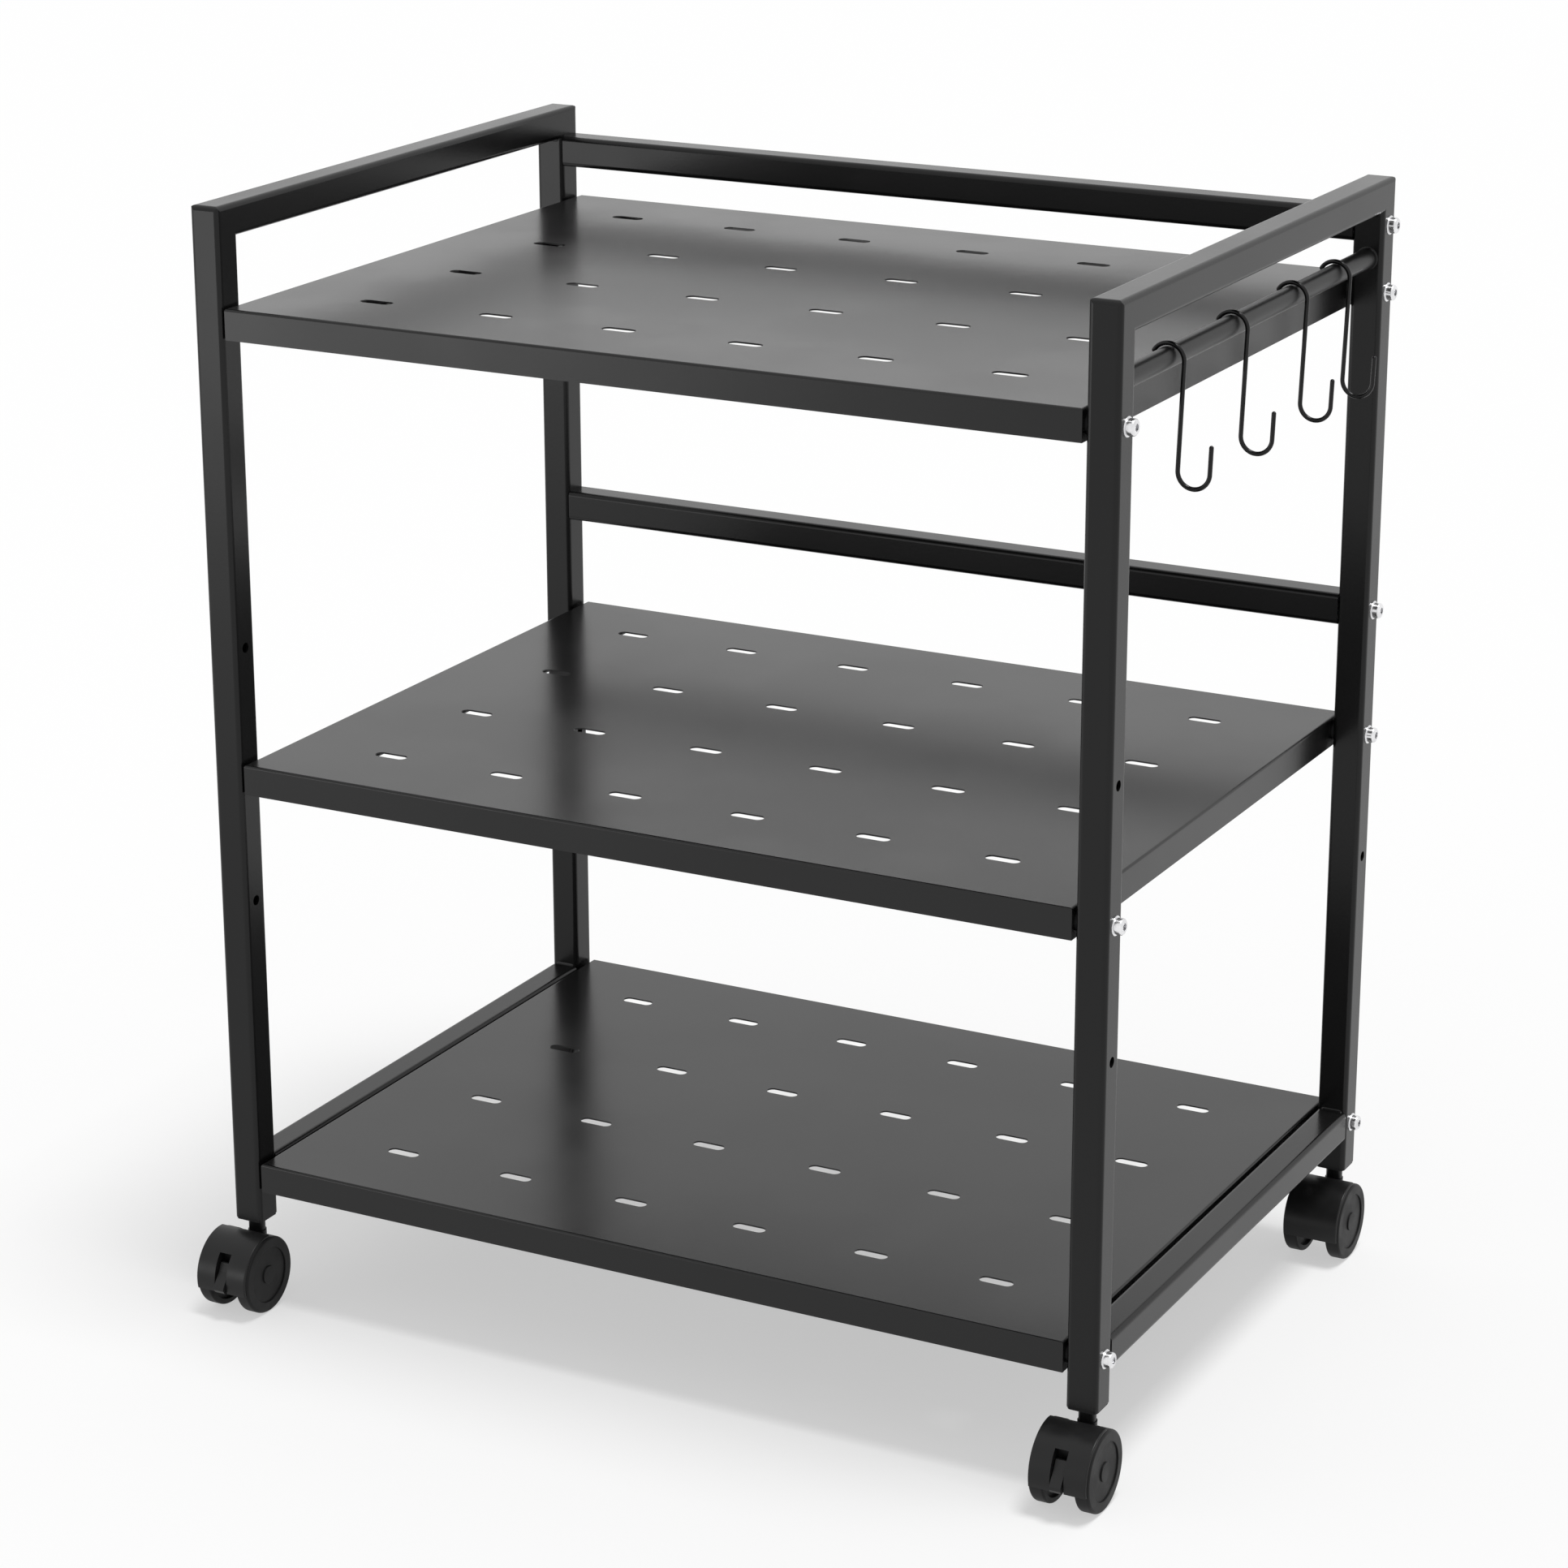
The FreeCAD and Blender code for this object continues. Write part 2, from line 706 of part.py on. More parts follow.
def brake_lever():
    """The toe lever of a front caster, in its lowered place."""
    back = brake_pocket_back + brake_side_gap
    side = [
        (back, -brake_sole_drop),
        (brake_reach - brake_face_drop, -brake_sole_drop),
        (brake_reach, -brake_nose_drop),
        (brake_reach, -brake_face_drop),
        (brake_reach - brake_face_slope, brake_face_top),
        (brake_crown_back + brake_crown_thickness, brake_crown),
        (brake_crown_back, brake_crown),
        (back, 0),
    ]
    points = [(forward(ahead), wheel_radius + up) for ahead, up in side]
    head = prism_x(points, -brake_half_width, brake_half_width)
    tongue = block((-brake_tongue_half_width, forward(brake_crown_back), wheel_radius - brake_tongue_radius),
                   (brake_tongue_half_width, forward(brake_pin_forward), wheel_radius + brake_tongue_radius))
    eye = cylinder_x(brake_tongue_radius, -brake_tongue_half_width, brake_tongue_half_width,
                     forward(brake_pin_forward), wheel_radius)
    bore = cylinder_x(brake_pin_radius + running_gap, -hood_core_half, hood_core_half,
                      forward(brake_pin_forward), wheel_radius)
    return head.fuse([tongue, eye]).cut(bore).removeSplitter()


def brake_pin():
    """The pin that a brake lever turns on, across the hood's core."""
    return cylinder_x(brake_pin_radius, -hood_core_half, hood_core_half,
                      forward(brake_pin_forward), wheel_radius)


def caster(with_brake):
    """The pieces of one caster, with its stem on the Z axis; the wheels trail to the front."""
    pieces = {
        "caster_socket": caster_socket(),
        "caster_stem": caster_stem(),
        "caster_hood": hood(with_brake),
        "caster_axle": axle(),
        "caster_right_wheel": wheel(),
    }
    pieces["caster_left_wheel"] = mirrored_x(pieces["caster_right_wheel"])
    if with_brake:
        pieces["brake_lever"] = brake_lever()
        pieces["brake_pin"] = brake_pin()
    return pieces


def casters():
    """All four casters under their posts."""
    pieces = {}
    for end, y in (("front", -post_y), ("rear", post_y)):
        built = caster(end == "front")
        for side, x in (("left", -post_x), ("right", post_x)):
            for name, shape in built.items():
                copy = shape.copy()
                copy.translate(FreeCAD.Vector(x, y, 0))
                pieces["%s_%s_%s" % (end, side, name)] = copy
    return pieces


def cart():
    """Every piece of the cart by name, with the frame centred over X = 0 and Y = 0."""
    pieces = {}
    for name, shape in end_frame().items():
        pieces["right_" + name] = shape
        pieces["left_" + name] = mirrored_x(shape)
    pieces["upper_back_rail"] = back_rail(upper_rail_height)
    pieces["middle_back_rail"] = back_rail(middle_rail_height)
    for name, level in tray_levels.items():
        pieces[name + "_tray"] = tray(level)
    pieces["hook_bar"] = hook_bar()
    pieces.update(hooks())
    pieces.update(fasteners())
    pieces.update(casters())
    return pieces


def floor_centre(shapes):
    """The middle of the floor rectangle that the pieces cover, seen from above."""
    box = Part.makeCompound(list(shapes)).optimalBoundingBox(False, False)
    return FreeCAD.Vector(box.Center.x, box.Center.y, 0)


def main():
    os.makedirs("parts", exist_ok=True)
    pieces = cart()
    centre = floor_centre(pieces.values())
    print("frame centre stands at X %.4f, Y %.4f" % (-centre.x, -centre.y))
    for name, shape in pieces.items():
        shape.translate(-centre)
        shape.exportStep("parts/%s.step" % name)
        print("%-34s solids %2d volume %10.1f valid %s"
              % (name, len(shape.Solids), shape.Volume, shape.isValid()))


main()
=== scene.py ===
"""Looks of a three-shelf rolling cart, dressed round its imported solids.

Lengths are in metres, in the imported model's frame: X to the cart's right, Y to its back and Z up
from the floor.
"""

from __future__ import annotations

import logging
import math
from dataclasses import dataclass, field
from enum import Enum

import bmesh
import bpy
from mathutils import Matrix, Vector


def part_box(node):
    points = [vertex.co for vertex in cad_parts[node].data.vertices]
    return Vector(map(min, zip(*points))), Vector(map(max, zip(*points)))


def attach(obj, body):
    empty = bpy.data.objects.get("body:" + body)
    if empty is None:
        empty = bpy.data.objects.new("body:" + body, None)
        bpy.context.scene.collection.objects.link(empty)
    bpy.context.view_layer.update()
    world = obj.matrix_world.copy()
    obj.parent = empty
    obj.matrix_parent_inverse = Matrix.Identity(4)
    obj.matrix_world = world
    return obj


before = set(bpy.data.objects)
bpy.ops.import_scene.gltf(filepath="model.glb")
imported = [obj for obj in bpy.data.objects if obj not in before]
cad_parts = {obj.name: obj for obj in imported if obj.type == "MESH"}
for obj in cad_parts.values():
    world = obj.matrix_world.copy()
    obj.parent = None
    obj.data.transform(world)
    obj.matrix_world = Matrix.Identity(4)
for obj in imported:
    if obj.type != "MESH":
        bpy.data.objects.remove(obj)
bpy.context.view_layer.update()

log = logging.getLogger("cart")

MM = 0.001
FRAME_BODY = "frame"
Colour = tuple[float, float, float]
Place = tuple[float, float]
Spot = tuple[float, float, float]


class Side(Enum):
    """The two sides of the cart."""

    LEFT = "left"
    RIGHT = "right"


class End(Enum):
    """The two ends of the cart's depth."""

    FRONT = "front"
    REAR = "rear"


class Slot(Enum):
    """The record's material slots."""

    FRAME = "frame_coat"
    TRAY = "tray_coat"
    BAR = "bar_coat"
    HOOK = "hook_coat"
    BOLT = "bolt_steel"
    PLAIN_STEEL = "plain_steel"
    STEM = "stem_steel"
    PLASTIC = "black_plastic"
    HOOD = "caster_hood"
    WHEEL = "caster_wheel"
    BRAKE = "brake_plastic"


class Board:
    """A node tree with short calls for placing and wiring its nodes."""

    def __init__(self, tree: bpy.types.NodeTree) -> None:
        """Takes over the node tree to fill, and empties it."""
        self.tree = tree
        tree.nodes.clear()

    def place(self, kind: str, **settings: object) -> bpy.types.Node:
        """Adds a node.

        Args:
            kind: the node's type name, without its ShaderNode prefix where it has one.
            settings: the node's own options by name.

        Returns:
            The new node.
        """
        name = kind if kind.startswith("Node") else "ShaderNode" + kind
        node = self.tree.nodes.new(name)
        for key, value in settings.items():
            setattr(node, key, value)
        return node

    def feed(self, node: bpy.types.Node, **values: object) -> bpy.types.Node:
        """Sets a node's inputs, each from another node's output or from a plain value.

        Args:
            node: the node to feed.
            values: values by input name, with underscores for spaces; i0, i1 and so on mean the
                input at that place.

        Returns:
            The same node.
        """
        for key, value in values.items():
            numbered = key[0] == "i" and key[1:].isdigit()
            socket = node.inputs[int(key[1:])] if numbered else node.inputs[key.replace("_", " ")]
            if isinstance(value, bpy.types.NodeSocket):
                self.tree.links.new(value, socket)
            else:
                socket.default_value = value
        return node

    def math(self, operation: str, first: object, second: object = 0.0,
             clamp: bool = False) -> bpy.types.NodeSocket:
        """Adds a Math node and gives its output, kept between 0 and 1 where clamp is set."""
        node = self.place("Math", operation=operation, use_clamp=clamp)
        return self.feed(node, i0=first, i1=second).outputs[0]

    def blend(self, share: object, first: object, second: object) -> bpy.types.NodeSocket:
        """Mixes two colours: the first shows at share 0, the second at share 1."""
        node = self.place("Mix", data_type="RGBA")
        return self.feed(node, i0=share, i6=first, i7=second).outputs[2]

    def span(self, value: object, low: float, high: float, to_low: float = 0.0,
             to_high: float = 1.0) -> bpy.types.NodeSocket:
        """Maps a value smoothly from the span of low to high to that of to_low to to_high."""
        node = self.place("MapRange", interpolation_type="SMOOTHSTEP")
        return self.feed(node, Value=value, From_Min=low, From_Max=high, To_Min=to_low,
                         To_Max=to_high).outputs[0]

    def noise(self, where: object, scale: object, detail: float = 2.0,
              roughness: float = 0.5) -> bpy.types.NodeSocket:
        """Adds a noise texture, looked up at a place, and gives its value."""
        node = self.place("TexNoise")
        return self.feed(node, Vector=where, Scale=scale, Detail=detail,
                         Roughness=roughness).outputs[0]

    def own_place(self) -> bpy.types.NodeSocket:
        """The place on the piece, in the piece's own frame."""
        return self.place("TexCoord").outputs["Object"]


@dataclass(frozen=True)
class GroupSocket:
    """One socket of a shared effect: its name, its kind and its value where nothing feeds it."""

    name: str
    kind: str = "NodeSocketFloat"
    start: float = 0.0


class SharedEffect:
    """An effect that several finishes use, built once as a shader node group."""

    title = "Effect"
    inputs: tuple[GroupSocket, ...] = ()
    outputs: tuple[GroupSocket, ...] = ()

    def __init__(self) -> None:
        """Makes the group's sockets and fills it."""
        self.group = bpy.data.node_groups.new(self.title, "ShaderNodeTree")
        board = Board(self.group)
        for socket in self.inputs:
            made = self.group.interface.new_socket(socket.name, in_out="INPUT",
                                                   socket_type=socket.kind)
            made.default_value = socket.start
        for socket in self.outputs:
            self.group.interface.new_socket(socket.name, in_out="OUTPUT", socket_type=socket.kind)
        enter = board.place("NodeGroupInput")
        leave = board.place("NodeGroupOutput")
        self.fill(board, enter, leave)

    def fill(self, board: Board, enter: bpy.types.Node, leave: bpy.types.Node) -> None:
        """Builds the effect on the group's board, between its input and output nodes."""
        raise NotImplementedError

    def put(self, board: Board, **values: object) -> bpy.types.Node:
        """Places the group on a material's board, with its input values by name."""
        node = board.place("Group", node_tree=self.group)
        return board.feed(node, **values)


class OrangePeel(SharedEffect):
    """The fine, even unevenness of baked powder or moulded plastic."""

    title = "Orange Peel"
    inputs = (GroupSocket("Scale", start=900.0), GroupSocket("Drift", start=40.0))
    outputs = (GroupSocket("Height"), GroupSocket("Mask"))
    fine_roughness = 0.55
    finer_factor = 2.7
    finer_detail = 1.0
    fine_share = 0.7
    broad_detail = 3.0
    mask_span = (0.3, 0.7)

    def fill(self, board: Board, enter: bpy.types.Node, leave: bpy.types.Node) -> None:
        """Adds two fine noises for the height and a broad one for the mask.

        Args:
            board: the group's board.
            enter: the group's input node.
            leave: the group's output node.
        """
        where = board.own_place()
        fine = board.noise(where, enter.outputs["Scale"], roughness=self.fine_roughness)
        finer_scale = board.math("MULTIPLY", enter.outputs["Scale"], self.finer_factor)
        finer = board.noise(where, finer_scale, detail=self.finer_detail)
        height = board.math("ADD", board.math("MULTIPLY", fine, self.fine_share),
                            board.math("MULTIPLY", finer, 1.0 - self.fine_share))
        broad = board.noise(where, enter.outputs["Drift"], detail=self.broad_detail)
        board.feed(leave, Height=height, Mask=board.span(broad, *self.mask_span))


class EdgeWearAndHighlight(SharedEffect):
    """A mask of the outer edges, where coats thin out and hands polish, and which also places a
    painted edge highlight.
    """

    title = "Edge Wear And Highlight"
    inputs = (GroupSocket("Radius", start=0.0012), GroupSocket("Patchiness", start=60.0))
    outputs = (GroupSocket("Mask"),)
    bevel_samples = 4
    edge_span = (0.7, 0.99)
    patch_detail = 3.0
    patch_span = (0.35, 0.7)
    least_wear_and_highlight = 0.25

    def fill(self, board: Board, enter: bpy.types.Node, leave: bpy.types.Node) -> None:
        """Compares the true normal with one rounded over the edges, and breaks the result up.

        Args:
            board: the group's board.
            enter: the group's input node.
            leave: the group's output node.
        """
        rounded = board.feed(board.place("Bevel", samples=self.bevel_samples),
                             Radius=enter.outputs["Radius"])
        true_normal = board.place("NewGeometry").outputs["Normal"]
        product = board.place("VectorMath", operation="DOT_PRODUCT")
        board.feed(product, i0=rounded.outputs[0], i1=true_normal)
        edge = board.span(product.outputs["Value"], *self.edge_span, to_low=1.0, to_high=0.0)
        patches = board.noise(board.own_place(), enter.outputs["Patchiness"],
                              detail=self.patch_detail)
        broken = board.span(patches, *self.patch_span, to_low=self.least_wear_and_highlight)
        # the edge mask marks wear and also a painted highlight along the edges
        board.feed(leave, Mask=board.math("MULTIPLY", edge, broken, clamp=True))


class Dust(SharedEffect):
    """A mask of the faint dust that settles on faces that look up."""

    title = "Dust"
    inputs = (GroupSocket("Scale", start=25.0), GroupSocket("Amount", start=0.3))
    outputs = (GroupSocket("Mask"),)
    cloud_detail = 4.0
    cloud_roughness = 0.6
    up_span = (0.3, 0.95)
    patch_span = (0.35, 0.75)

    def fill(self, board: Board, enter: bpy.types.Node, leave: bpy.types.Node) -> None:
        """Multiplies a cloudy noise by how far the face looks up.

        Args:
            board: the group's board.
            enter: the group's input node.
            leave: the group's output node.
        """
        cloud = board.noise(board.own_place(), enter.outputs["Scale"], self.cloud_detail,
                            self.cloud_roughness)
        normal = board.place("NewGeometry").outputs["Normal"]
        parts = board.feed(board.place("SeparateXYZ"), Vector=normal)
        up = board.span(parts.outputs["Z"], *self.up_span)
        patches = board.span(cloud, *self.patch_span)
        board.feed(leave, Mask=board.math("MULTIPLY", board.math("MULTIPLY", up, patches),
                                          enter.outputs["Amount"], clamp=True))


class TurnedLines(SharedEffect):
    """Fine tool lines of turned or drawn steel, along X."""

    title = "Turned Lines"
    inputs = (GroupSocket("Scale", start=2500.0), GroupSocket("Stretch", start=0.05))
    outputs = (GroupSocket("Height"), GroupSocket("Mask"))
    mask_span = (0.35, 0.65)

    def fill(self, board: Board, enter: bpy.types.Node, leave: bpy.types.Node) -> None:
        """Stretches a noise along the length so that it reads as lines.

        Args:
            board: the group's board.
            enter: the group's input node.
            leave: the group's output node.
        """
        parts = board.feed(board.place("SeparateXYZ"), Vector=board.own_place())
        across = board.math("MULTIPLY", parts.outputs["X"], enter.outputs["Stretch"])
        joined = board.feed(board.place("CombineXYZ"), X=across, Y=parts.outputs["Y"],
                            Z=parts.outputs["Z"])
        lines = board.noise(joined.outputs[0], enter.outputs["Scale"])
        board.feed(leave, Height=lines, Mask=board.span(lines, *self.mask_span))


@dataclass
class Effects:
    """The shared effects, one of each."""

    peel: OrangePeel = field(default_factory=OrangePeel)
    wear_and_highlight: EdgeWearAndHighlight = field(default_factory=EdgeWearAndHighlight)
    dust: Dust = field(default_factory=Dust)
    lines: TurnedLines = field(default_factory=TurnedLines)


def opaque(colour: Colour) -> tuple[float, float, float, float]:
    """The colour with full alpha."""
    return (*colour, 1.0)


@dataclass(frozen=True)
class Finish:
    """What every finish has: a name, a colour, a roughness that drifts and a fine relief."""

    name: str
    colour: Colour
    roughness: float
    roughness_drift: float
    relief: float

    def start(self) -> tuple[bpy.types.Material, Board, bpy.types.Node]:
        """Starts the material with a Principled shader.

        Returns:
            The material, its board and the shader.
        """
        material = bpy.data.materials.new(self.name)
        material.use_nodes = True
        board = Board(material.node_tree)
        shader = board.place("BsdfPrincipled")
        board.feed(board.place("OutputMaterial"), Surface=shader.outputs[0])
        return material, board, shader

    def wire(self, board: Board, shader: bpy.types.Node, colour: bpy.types.NodeSocket,
             surface: bpy.types.Node) -> None:
        """Wires the colour, the drifting roughness and the relief into the shader.

        Args:
            board: the material's board.
            shader: the Principled shader.
            colour: the colour to show.
            surface: the placed effect whose mask drifts the roughness and whose height is felt.
        """
        rough = board.span(surface.outputs["Mask"], 0.0, 1.0,
                           self.roughness - self.roughness_drift,
                           self.roughness + self.roughness_drift)
        bump = board.feed(board.place("Bump"), Strength=1.0, Distance=self.relief,
                          Height=surface.outputs["Height"])
        board.feed(shader, Base_Color=colour, Roughness=rough, Normal=bump.outputs[0])

    def material(self, effects: Effects) -> bpy.types.Material:
        """Builds the finish's material from the shared effects."""
        raise NotImplementedError


@dataclass(frozen=True)
class PowderCoat(Finish):
    """A satin powder coat: near black, softly glossy, with a fine orange peel."""

    colour: Colour = (0.006, 0.006, 0.0061)
    roughness: float = 0.24
    roughness_drift: float = 0.02
    relief: float = 0.04 * MM
    # lighter colour at the edges: partly rubbed wear, partly a painted edge highlight
    worn_and_highlit: Colour = (0.03, 0.03, 0.0305)
    dusty: Colour = (0.09, 0.088, 0.085)
    peel_scale: float = 700.0
    peel_drift: float = 9.0
    wear_and_highlight: float = 0.3
    wear_and_highlight_radius: float = 1.1 * MM
    wear_and_highlight_patches: float = 45.0
    dust: float = 0.03
    dust_scale: float = 14.0
    ior: float = 1.34

    def material(self, effects: Effects) -> bpy.types.Material:
        """Builds the finish.

        Args:
            effects: the shared effects.

        Returns:
            The material.
        """
        material, board, shader = self.start()
        peel = effects.peel.put(board, Scale=self.peel_scale, Drift=self.peel_drift)
        wear_and_highlight = effects.wear_and_highlight.put(board, Radius=self.wear_and_highlight_radius, Patchiness=self.wear_and_highlight_patches)
        dust = effects.dust.put(board, Scale=self.dust_scale, Amount=self.dust)
        # edges take the lighter colour: partly wear, partly a painted highlight
        edge = board.math("MULTIPLY", wear_and_highlight.outputs["Mask"], self.wear_and_highlight)
        coat = board.blend(edge, opaque(self.colour), opaque(self.worn_and_highlit))
        colour = board.blend(dust.outputs["Mask"], coat, opaque(self.dusty))
        self.wire(board, shader, colour, peel)
        board.feed(shader, IOR=self.ior)
        return material


@dataclass(frozen=True)
class MouldedNylon(Finish):
    """Moulded black nylon with a satin spark-eroded grain."""

    colour: Colour = (0.009, 0.009, 0.0092)
    roughness: float = 0.4
    roughness_drift: float = 0.05
    relief: float = 0.03 * MM
    # lighter colour at the edges: partly rubbed wear, partly a painted edge highlight
    worn_and_highlit: Colour = (0.028, 0.028, 0.0285)
    grain_scale: float = 1400.0
    grain_drift: float = 60.0
    wear_and_highlight: float = 0.3
    wear_and_highlight_radius: float = 0.8 * MM
    wear_and_highlight_patches: float = 120.0
    ior: float = 1.35

    def material(self, effects: Effects) -> bpy.types.Material:
        """Builds the finish.

        Args:
            effects: the shared effects.

        Returns:
            The material.
        """
        material, board, shader = self.start()
        grain = effects.peel.put(board, Scale=self.grain_scale, Drift=self.grain_drift)
        wear_and_highlight = effects.wear_and_highlight.put(board, Radius=self.wear_and_highlight_radius, Patchiness=self.wear_and_highlight_patches)
        # edges take the lighter colour: partly wear, partly a painted highlight
        edge = board.math("MULTIPLY", wear_and_highlight.outputs["Mask"], self.wear_and_highlight)
        colour = board.blend(edge, opaque(self.colour), opaque(self.worn_and_highlit))
        self.wire(board, shader, colour, grain)
        board.feed(shader, IOR=self.ior)
        return material


@dataclass(frozen=True)
class BareSteel(Finish):
    """Bright plated or plain steel with faint tool lines."""

    colour: Colour = (0.72, 0.72, 0.73)
    roughness: float = 0.22
    roughness_drift: float = 0.08
    relief: float = 0.01 * MM
    dull: Colour = (0.5, 0.5, 0.51)
    line_scale: float = 2600.0
    line_stretch: float = 0.08
    patch_scale: float = 900.0
    patch_drift: float = 160.0

    def material(self, effects: Effects) -> bpy.types.Material:
        """Builds the finish.

        Args:
            effects: the shared effects.

        Returns:
            The material.
        """
        material, board, shader = self.start()
        lines = effects.lines.put(board, Scale=self.line_scale, Stretch=self.line_stretch)
        patches = effects.peel.put(board, Scale=self.patch_scale, Drift=self.patch_drift)
        colour = board.blend(patches.outputs["Mask"], opaque(self.colour), opaque(self.dull))
        self.wire(board, shader, colour, lines)
        board.feed(shader, Metallic=1.0)
        return material


FINISHES: dict[Slot, Finish] = {
    Slot.FRAME: PowderCoat("frame_powder_coat"),
    Slot.TRAY: PowderCoat("tray_powder_coat", wear_and_highlight=0.2, dust=0.04, ior=1.4),
    Slot.BAR: PowderCoat("hook_bar_coat", roughness=0.34),
    Slot.HOOK: PowderCoat("hook_coat", colour=(0.006, 0.006, 0.0062), roughness=0.22, dust=0.0),
    Slot.BOLT: BareSteel("bright_plated_steel", colour=(0.86, 0.86, 0.87), dull=(0.7, 0.7, 0.71),
                         roughness=0.2),
    Slot.PLAIN_STEEL: BareSteel("plain_turned_steel", colour=(0.5, 0.5, 0.51),
                                dull=(0.36, 0.36, 0.37), roughness=0.32),
    Slot.STEM: PowderCoat("blackened_stem", colour=(0.01, 0.01, 0.0102), roughness=0.34, dust=0.0),
    Slot.PLASTIC: MouldedNylon("black_insert_plastic"),
    Slot.HOOD: MouldedNylon("caster_hood_nylon", roughness=0.36),
    Slot.WHEEL: MouldedNylon("caster_wheel_nylon", roughness=0.5, ior=1.28),
    Slot.BRAKE: MouldedNylon("brake_lever_nylon", colour=(0.014, 0.014, 0.0142), roughness=0.38),
}


class Dresser:
    """Hands out the finishes and puts them on pieces."""

    def __init__(self) -> None:
        """Builds the shared effects and every finish."""
        effects = Effects()
        self.materials = {slot: finish.material(effects) for slot, finish in FINISHES.items()}

    def dress(self, piece: bpy.types.Object, slot: Slot, sharp: float = 32.0) -> None:
        """Puts a finish on a piece and shades it smooth between its sharp edges.

        Args:
            piece: the mesh object to dress.
            slot: the record's slot that it takes its finish from.
            sharp: edges that bend by more than this many degrees stay sharp.
        """
        mesh = piece.data
        mesh.materials.clear()
        mesh.materials.append(self.materials[slot])
        mesh.shade_smooth()
        mesh.set_sharp_from_angle(angle=math.radians(sharp))

    def dress_nodes(self, names: list[str], slot: Slot) -> None:
        """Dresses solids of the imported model.

        Args:
            names: the nodes' names.
            slot: the slot that they share.
        """
        for name in names:
            self.dress(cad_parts[name], slot)
            log.info("dressed %s with %s", name, slot.value)


@dataclass(frozen=True)
class PhotoCamera:
    """The photograph's viewpoint, found from the cart's own edges."""

    place: Spot = (1.18421, -2.25390, 1.17920)
    turn: float = 27.911
    tilt: float = 18.271
    roll: float = 0.098
    focal_px: float = 5290.3
    image_px: float = 1932.0
    centre_px: Place = (964.6, 966.4)
    sensor_mm: float = 36.0

    def build(self) -> None:
        """Makes the camera and hands it to the scene."""
        data = bpy.data.cameras.new("photo_camera")
        data.sensor_width = self.sensor_mm
        data.lens = self.focal_px / self.image_px * self.sensor_mm
        data.shift_x = (self.image_px / 2 - self.centre_px[0]) / self.image_px
        data.shift_y = (self.centre_px[1] - self.image_px / 2) / self.image_px
        camera = bpy.data.objects.new("photo_camera", data)
        bpy.context.scene.collection.objects.link(camera)
        aim = Matrix.Rotation(math.radians(self.turn), 4, "Z")
        aim = aim @ Matrix.Rotation(math.radians(90.0 - self.tilt), 4, "X")
        aim = aim @ Matrix.Rotation(math.radians(-self.roll), 4, "Z")
        camera.matrix_world = Matrix.Translation(self.place) @ aim
        bpy.context.scene.camera = camera


@dataclass(frozen=True)
class SoftBox:
    """One rectangular studio lamp."""

    name: str
    place: Spot
    target: Spot
    size: Place
    power: float

    def build(self) -> None:
        """Makes the lamp and aims it."""
        data = bpy.data.lights.new(self.name, "AREA")
        data.shape = "RECTANGLE"
        data.size, data.size_y = self.size
        data.energy = self.power
        lamp = bpy.data.objects.new(self.name, data)
        lamp.visible_camera = False
        bpy.context.scene.collection.objects.link(lamp)
        lamp.location = self.place
        aim = Vector(self.target) - Vector(self.place)
        lamp.rotation_euler = aim.to_track_quat("-Z", "Y").to_euler()


@dataclass(frozen=True)
class SkyPanel:
    """The wide, soft light from overhead, which is as strong all over the floor."""

    name: str = "overhead_panel"
    lean: Spot = (0.2, 0.0, 1.0)
    spread: float = 20.0
    level: float = 0.58

    def build(self) -> None:
        """Makes the light and leans it."""
        data = bpy.data.lights.new(self.name, "SUN")
        data.angle = math.radians(self.spread)
        data.energy = self.level * math.pi
        lamp = bpy.data.objects.new(self.name, data)
        bpy.context.scene.collection.objects.link(lamp)
        lamp.rotation_euler = Vector(self.lean).to_track_quat("Z", "Y").to_euler()


